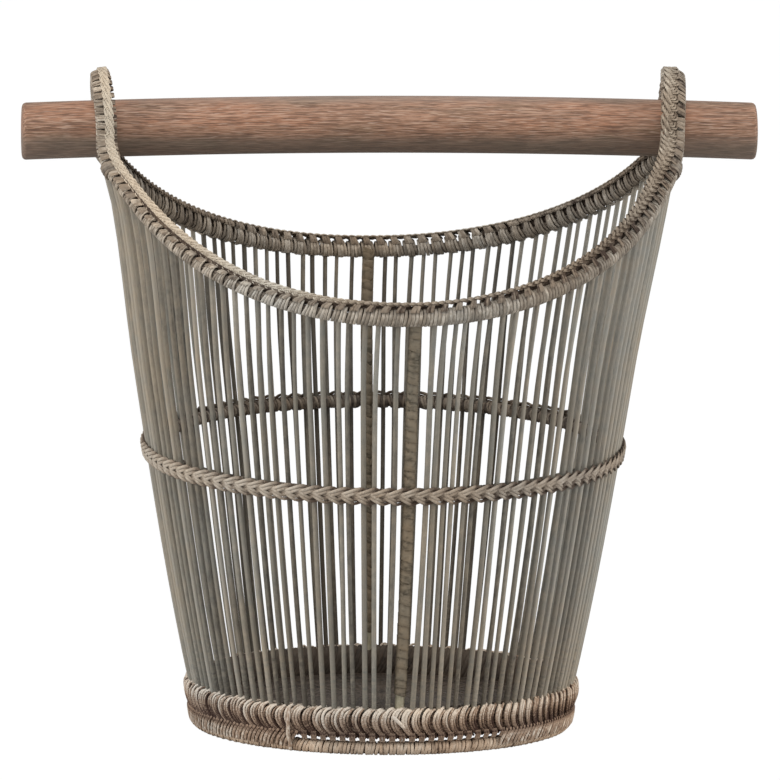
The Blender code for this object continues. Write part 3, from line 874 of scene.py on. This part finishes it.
class Route:
    """A closed route that is read by its length, with the way that its open side faces."""

    def __init__(self, points):
        self.points = points
        self.marks = [0.0]
        for one, two in zip(points, points[1:] + points[:1]):
            self.marks.append(self.marks[-1] + (two - one).length)
        self.length = self.marks[-1]

    def at(self, travelled):
        """A place on the route, the way along it, the way out of the basket and the way up."""
        travelled %= self.length
        number = bisect.bisect_right(self.marks, travelled) - 1
        one = self.points[number % len(self.points)]
        two = self.points[(number + 1) % len(self.points)]
        step = self.marks[number + 1] - self.marks[number]
        share = (travelled - self.marks[number]) / max(step, 1e-9)
        place = one.lerp(two, share)
        along = (two - one).normalized()
        outward = Vector((place.x, place.y, 0.0)).normalized()
        outward = (outward - along * outward.dot(along)).normalized()
        return place, along, outward, outward.cross(along)


rim_route = Route(rim_points)


def rim_style(travelled):
    """The look of the rim at a length along it, between two of the rim_marks."""
    place = rim_route.at(travelled)[0]
    turn = math.degrees(math.atan2(place.x, -place.y))
    number = min(bisect.bisect_right([mark[0] for mark in rim_marks], turn), len(rim_marks) - 1)
    one, two = rim_marks[number - 1], rim_marks[number]
    share = (turn - one[0]) / (two[0] - one[0])
    share *= share * (3 - 2 * share)
    return RimLook(*(low + (high - low) * share for low, high in zip(one, two)))


bundle_marks = [0.0]
while bundle_marks[-1] < rim_route.length:
    place = rim_route.at(bundle_marks[-1])[0]
    room = rim_bundle_room - 0.0018 * limited((place.z - 0.285) / 0.07)
    if place.x < 0 and place.y < 0.02:
        room -= 0.0031 * limited((place.z - 0.344) / 0.012)
    bundle_marks.append(bundle_marks[-1] + room)
bundle_marks = [mark * rim_route.length / bundle_marks[-1] for mark in bundle_marks]
ear_foot_mark = rim_route.marks[next(number for number, place in enumerate(rim_points)
                                     if place.z >= ear_foot_height)]
half_length = rim_route.length / 2
rim_stretches = (("front", -ear_foot_mark, ear_foot_mark),
                 ("right_ear", ear_foot_mark, half_length - ear_foot_mark),
                 ("back", half_length - ear_foot_mark, half_length + ear_foot_mark),
                 ("left_ear", half_length + ear_foot_mark, rim_route.length - ear_foot_mark))
rim_strand = straight_strand(rim_lap_rings, 8, 0.6)
chance = random.Random(41)


def rim_lap(shape, middle, beside, width, shade, lean, out, stretch=0.0, share=1.0):
    """A lap beside the middle of its bundle; the bundle keeps a share of its room at the top."""
    stations, widths = [], []
    for ring in range(rim_lap_rings + 1):
        turn = math.tau * ring / rim_lap_rings + rim_lap_start
        room = 1 - (1 - share) * (0.5 + 0.5 * math.sin(turn))
        travelled = middle + beside * room + lean * math.sin(turn + 0.5)
        place, along, outward, upward = rim_route.at(travelled)
        lift = outward * math.cos(turn) + upward * math.sin(turn)
        stations.append((place + lift * out + upward * stretch * max(math.sin(turn), 0.0), lift))
        widths.append(width * room)
    bend_strand(shape, rim_strand, stations, widths, rim_lap_thickness, shade)


for name, start, end in rim_stretches:
    shape = new_shape()
    for first, last in zip(bundle_marks, bundle_marks[1:]):
        middle = 0.5 * (first + last)
        if (middle - start) % rim_route.length >= end - start:
            continue
        look = rim_style(middle)
        tone = chance.random()
        laps = round((last - first) / rim_lap_spacing)
        lap_width = (last - first) / laps
        for lap in range(laps):
            beside = (lap + 0.5) / laps - 0.5
            out = rim_core_radius + 0.0010 + 0.001 * look.bulge * (0.7 - 5 * beside ** 2)
            # Laps at the edges of a bulging bundle are darker: painted shade in the creases between
            # bundles.
            rim_lap(shape, middle, beside * (last - first), lap_width * chance.uniform(0.90, 1.06),
                    0.28 + 0.4 * tone + (0.4 - 0.15 * look.bulge) * chance.random()
                    - 0.8 * max(look.bulge, 0) * beside ** 2 + 0.7 * min(look.pale, 0.0),
                    0.0008 + 0.0004 * max(look.bulge, 0) + chance.uniform(-0.0002, 0.0002),
                    out, 0.001 * look.reach, look.keep)
    make_piece("rim_bound_" + name, shape, rim_cane, ["rim_binding_" + name])

shape = new_shape()
rim_rings = 240
spots = [rim_route.at(rim_route.length * ring / rim_rings) for ring in range(rim_rings + 1)]
# The core gets the darkest tone: painted shade where it shows in the slits between bundles.
bend_strand(shape, straight_strand(rim_rings, 8, capped=False),
            [(place, outward) for place, along, outward, upward in spots],
            2 * rim_core_radius, 2 * rim_core_radius, 0.0, closed=True)
make_piece("rim_hoop_core", shape, rim_cane, ["rim_hoop"])


# Rim plait ---------------------------------------------------------------------------------------
# A narrow flat plait of fine pale canes, three by three, lies on the open side of the rim, more or
# less level and towards the inside of the basket. Stitches hold it down, with dark holes between.

band_cane_thickness = 0.0009
band_wave_length = 0.0138
band_wave_rings = 12
band_depth = 0.0006
band_cane_share = 0.125
stitch_thickness = 0.0010
stitch_rings = 8
band_cane = cane("band_cane", (0.080, 0.054, 0.036), (0.290, 0.232, 0.176), (0.560, 0.488, 0.395),
                 fibres=0.55)
stitch_cane = cane("stitch_cane", (0.042, 0.025, 0.016), (0.215, 0.168, 0.126),
                   (0.470, 0.405, 0.330))


def band_frame(travelled):
    """The middle of the plait, its way across, inwards, and the way that it faces."""
    place, along, outward, upward = rim_route.at(travelled)
    look = rim_style(travelled)
    tilt = math.radians(look.lean)
    lift = upward * math.cos(tilt) + outward * math.sin(tilt)
    middle = place + outward * 0.001 * look.out + upward * 0.001 * look.up
    return middle, lift.cross(along), lift


shape = new_shape()
chance = random.Random(43)
band_waves = round(rim_route.length / band_wave_length)
band_rings = band_waves * band_wave_rings
band_strand = straight_strand(band_rings, 6, 0.8, capped=False)
for strand in range(3):
    for part in (-1, 0, 1):
        tone = 0.2 + 0.3 * chance.random()
        stations, widths, shades = [], [], []
        for ring in range(band_rings + 1):
            phase = math.tau * (ring / band_wave_rings + strand / 3)
            travelled = rim_route.length * ring / band_rings
            look = rim_style(travelled)
            width = 0.001 * look.width
            reach = width * (0.305 * math.sin(phase) + band_cane_share * part)
            middle, across, lift = band_frame(travelled + 0.9 * reach)
            widths.append(band_cane_share * width)
            weave = band_depth * (1 - 0.65 * limited(2.5 * look.pale - 0.25)) * math.sin(2 * phase)
            stations.append((middle + across * reach + lift * weave, lift))
            # Each cane is painted darker where it runs under the others and paler where it lies on
            # top: painted shade and highlight, weaker where the rim is pale and on the right ear.
            painted_crossing_shade = 0.44 - 0.9 * limited(look.pale - 0.10)
            painted_crossing_shade -= 0.14 * (middle.x > 0 and middle.z > 0.33)
            shades.append(tone + painted_crossing_shade * math.sin(2 * phase) + chance.uniform(-0.16, 0.16)
                          + look.pale)
        widths[-1], shades[-1] = widths[0], shades[0]
        bend_strand(shape, band_strand, stations, widths, band_cane_thickness, shades, closed=True)
make_piece("rim_plait_woven", shape, band_cane, ["rim_plait"])

shape = new_shape()
stitch_strand = straight_strand(stitch_rings, 6, 0.85)
for first, last in zip(bundle_marks, bundle_marks[1:]):
    look = rim_style(0.5 * (first + last))
    turned = rim_route.at(0.5 * (first + last))[0].x
    for side in (-1, 1):
        tone = chance.random()
        for part in (-1, 0, 1):
            start = 0.5 * (first + last) + (last - first) * (look.cover / 3 * part
                                                             + chance.uniform(-0.04, 0.04))
            end = start + (last - first) * (0.18 - 0.05 * part)
            place, along, outward, upward = rim_route.at(start)
            middle, across, lift = band_frame(end)
            edge = middle - across * side * (0.0005 * look.width - 0.0008) - lift * 0.0004
            low = place + outward * side * 0.0034 + upward * (0.0024 + 0.001 * look.reach)
            bow = outward * side * (0.0004 + 0.0013 * look.sill * (side < 0))
            bends = interpolate_bezier(low, low + upward * 0.0020 + bow,
                                       edge + bow - upward * 0.0014, edge, stitch_rings + 1)
            stations = [(bend, (outward * side + lift * ring / stitch_rings).normalized())
                        for ring, bend in enumerate(bends)]
            bend_strand(shape, stitch_strand, stations,
                        0.38 * look.cover * (last - first) * chance.uniform(0.85, 1.1),
                        stitch_thickness, 0.1 + 0.4 * tone + 0.4 * chance.random()
                        + (0.35 if look.pale > 0 else 0.7) * look.pale
                        + (0.2 if turned > 0 else -0.5) * (side < 0) * look.sill / 3.2)
# A dark strand under the plait, painted shade in the holes between the stitches, left out where
# daylight shows: at the back and just right of the front. It turns paler high on the ears.
hole_shade_rings = 160
hole_shade_strand = straight_strand(hole_shade_rings, 6)
for start, end in ((0.045, 0.44), (0.56, 1.018)):
    stations = []
    for ring in range(hole_shade_rings + 1):
        travelled = rim_route.length * (start + (end - start) * ring / hole_shade_rings)
        middle, across, lift = band_frame(travelled)
        stations.append((rim_route.at(travelled)[0].lerp(middle, 0.60), lift))
    shades = [0.6 * limited((place.z - 0.358) / 0.015) for place, lift in stations]
    bend_strand(shape, hole_shade_strand, stations, 0.0026, 0.0052, shades)
make_piece("rim_stitches_and_hole_shade", shape, stitch_cane, [])


# Ties --------------------------------------------------------------------------------------------
# Across the foot of each ear lies a short bar, wound with cane, which the pole rests on. Its ends
# are bound to the legs of the ear, which leaves a small knob at each.

tie_cane = cane("tie_cane", (0.030, 0.022, 0.017), (0.120, 0.096, 0.076), (0.250, 0.210, 0.170))
tie_half = abs(tie_leg.y) - rim_radius
tie_mark = rim_route.marks[rim_points.index(tie_leg)]
tie_laps = 18
tie_bar_radius = tie_radius - 0.0008
for name, side, marks in (("right", 1, (tie_mark, half_length - tie_mark)),
                          ("left", -1, (half_length + tie_mark, -tie_mark))):
    shape = new_shape()
    ends = [Vector((side * tie_leg.x, tie_half * (step - 1), tie_height)) for step in range(3)]
    bend_strand(shape, straight_strand(2, 10), [(end, Vector((0, 0, 1))) for end in ends],
                2 * tie_bar_radius, 2 * tie_bar_radius, 0.1)
    for lap in range(tie_laps):
        stations = []
        y = -tie_half + 2 * tie_half * (lap + 0.5) / tie_laps
        for ring in range(lash_rings + 1):
            turn = math.tau * ring / lash_rings
            lift = Vector((math.cos(turn), 0, math.sin(turn)))
            stations.append((Vector((side * tie_leg.x, y + 0.0006 * math.cos(turn), tie_height))
                             + lift * (tie_radius - 0.0005), lift))
        bend_strand(shape, lash_strand, stations, 2 * tie_half / tie_laps, lash_thickness,
                    chance.random())
    for mark in marks:
        for lap in (-1.5, -0.5, 0.5, 1.5):
            rim_lap(shape, mark, 0.0020 * lap, 0.0021, 0.8 + 0.5 * chance.random(), 0.0008,
                    rim_radius + 0.0008 - 0.0002 * abs(lap))
    make_piece("ear_tie_" + name + "_bound", shape, tie_cane, ["ear_tie_" + name])


# Pole --------------------------------------------------------------------------------------------
# A branch of red-brown wood, planed round and rubbed with age: short pale and dark pores along the
# grain, olive patches, and its edge taken off at the ends. It is paler grey on top, partly
# weathered wood and partly a painted highlight of the light from above, and greyer and darker
# below, partly a grey surface and partly painted shade.

pole_length = 0.4482
pole_bow = 0.0026
pole_chamfer = 0.0024
pole_rings = 90
pole_shift = 0.0021
shape = bmesh.new()
bmesh.ops.create_cone(shape, cap_ends=True, segments=64, radius1=pole_radius,
                      radius2=pole_radius, depth=pole_length)
caps = [face for face in shape.faces if len(face.verts) > 4]
edges = [edge for face in caps for edge in face.edges]
bmesh.ops.bevel(shape, geom=edges, offset=pole_chamfer, offset_type="OFFSET", affect="EDGES",
                segments=3, profile=0.5, material=-1)
long_edges = [edge for edge in shape.edges
              if abs(edge.verts[0].co.z - edge.verts[1].co.z) > pole_length / 2]
bmesh.ops.subdivide_edges(shape, edges=long_edges, cuts=pole_rings, use_grid_fill=True)
bmesh.ops.rotate(shape, verts=shape.verts, cent=(0, 0, 0),
                 matrix=Matrix.Rotation(math.pi / 2, 3, "Y"))
for vert in shape.verts:
    x = vert.co.x
    vert.co.z += pole_axis_height + pole_bow * (1 - (x / ear_waist_reach) ** 2)
    vert.co.x += pole_shift
mesh = bpy.data.meshes.new("pole_wood")
shape.to_mesh(mesh)
shape.free()
mesh.shade_smooth()
mesh.set_sharp_from_angle(angle=math.radians(40))
pole = bpy.data.objects.new("pole_wood", mesh)
scene.collection.objects.link(pole)


def wood():
    """The pole's material: tones laid one by one over the ground colour of the wood."""
    material, tree, shader = new_material("brown_wood_grain")
    place = add(tree, "TexCoord", {}).outputs["Object"]

    def noise(scale, detail, rough=0.5):
        """Noise drawn out along the pole."""
        mapping = add(tree, "Mapping", {"Scale": scale, "Vector": place})
        return add(tree, "TexNoise", {"Scale": 1.0, "Detail": detail, "Roughness": rough,
                                      "Vector": mapping.outputs[0]}).outputs["Fac"]

    streaks = noise((55.0, 1150.0, 1150.0), 2.0, 0.55)
    pores = noise((120.0, 1900.0, 1900.0), 1.0)
    bands = noise((9.0, 170.0, 170.0), 3.0)
    patches = noise((16.0, 60.0, 60.0), 2.0)
    level = add(tree, "SeparateXYZ", {0: place}).outputs["Z"]
    colour = (0.258, 0.138, 0.084, 1.0)
    # Each tone comes in from one value to another, up to a share of itself.
    for value, low, high, strength, tone in (
            (bands, 0.45, 0.68, 0.70, (0.345, 0.182, 0.112)),
            (patches, 0.50, 0.66, 0.60, (0.165, 0.112, 0.070)),
            (patches, 0.47, 0.36, 0.55, (0.370, 0.172, 0.096)),
            (streaks, 0.51, 0.64, 0.55, (0.440, 0.272, 0.188)),
            (streaks, 0.49, 0.37, 0.65, (0.095, 0.048, 0.031)),
            (pores, 0.54, 0.68, 0.50, (0.480, 0.340, 0.260)),
            (pores, 0.46, 0.34, 0.60, (0.095, 0.050, 0.034)),
            # By height: paler grey on top, partly weathered wood and partly a painted highlight of
            # the light from above; greyer and darker below, partly grey wood and partly painted
            # shade.
            (level, 0.3825, 0.3875, 0.55, (0.240, 0.190, 0.155)),
            (level, 0.3685, 0.3595, 0.58, (0.150, 0.124, 0.098))):
        step = add(tree, "MapRange", {"Value": value, "From Min": low, "From Max": high},
                   interpolation_type="SMOOTHSTEP")
        laid = add(tree, "Math", {0: step.outputs["Result"], 1: strength}, operation="MULTIPLY")
        colour = add(tree, "Mix", {"Factor": laid.outputs[0], "A": colour, "B": (*tone, 1.0)},
                     data_type="RGBA").outputs["Result"]
    bump = add(tree, "Bump", {"Distance": 0.0004, "Height": streaks})
    fill(tree, shader, {"Base Color": colour, "Roughness": 0.60, "Specular IOR Level": 0.35,
                        "Normal": bump.outputs["Normal"]})
    return material


mesh.materials.append(wood())
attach(pole, "pole")
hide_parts("pole")
